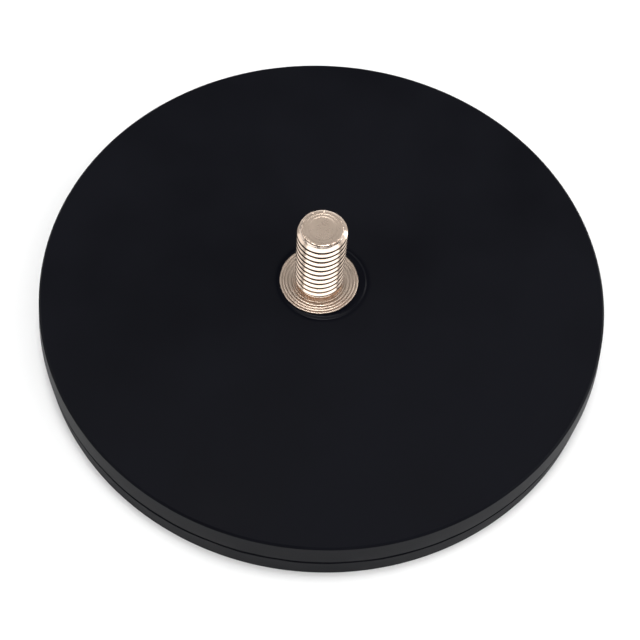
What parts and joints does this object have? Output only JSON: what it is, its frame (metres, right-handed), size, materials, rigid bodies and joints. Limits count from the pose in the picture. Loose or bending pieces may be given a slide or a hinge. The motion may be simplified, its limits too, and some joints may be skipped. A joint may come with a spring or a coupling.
{
  "type": "magnet fishing magnet",
  "caption": "Flat round rubber-coated magnet with a threaded steel stud standing from a turned collar at the centre of its back.",
  "frame": {"origin": "centre of the flat working face that grips the steel", "axes": "+Z runs from the working face up the stud to its free end; +X points to the side where the moulded boss is widest round the collar"},
  "size_m": [0.091, 0.091, 0.0239],
  "materials": {
    "rubber": "matte black moulded thermoplastic rubber with a faint satin sheen",
    "plate_steel": "zinc-plated mild steel",
    "stud_nickel": "bright nickel plate over turned steel, with a warm tint",
    "magnet_nickel": "smooth bright nickel plate over sintered neodymium magnet"
  },
  "bodies": {
    "root": {"rubber_base": "rubber", "rubber_cover": "rubber", "yoke_plate": "plate_steel", "threaded_stud": "stud_nickel", "magnet_outer_01": "magnet_nickel", "magnet_outer_02": "magnet_nickel", "magnet_outer_03": "magnet_nickel", "magnet_outer_04": "magnet_nickel", "magnet_outer_05": "magnet_nickel", "magnet_outer_06": "magnet_nickel", "magnet_outer_07": "magnet_nickel", "magnet_outer_08": "magnet_nickel", "magnet_outer_09": "magnet_nickel", "magnet_outer_10": "magnet_nickel", "magnet_outer_11": "magnet_nickel", "magnet_outer_12": "magnet_nickel", "magnet_inner_01": "magnet_nickel", "magnet_inner_02": "magnet_nickel", "magnet_inner_03": "magnet_nickel", "magnet_inner_04": "magnet_nickel", "magnet_inner_05": "magnet_nickel", "magnet_inner_06": "magnet_nickel"}
  },
  "joints": []
}
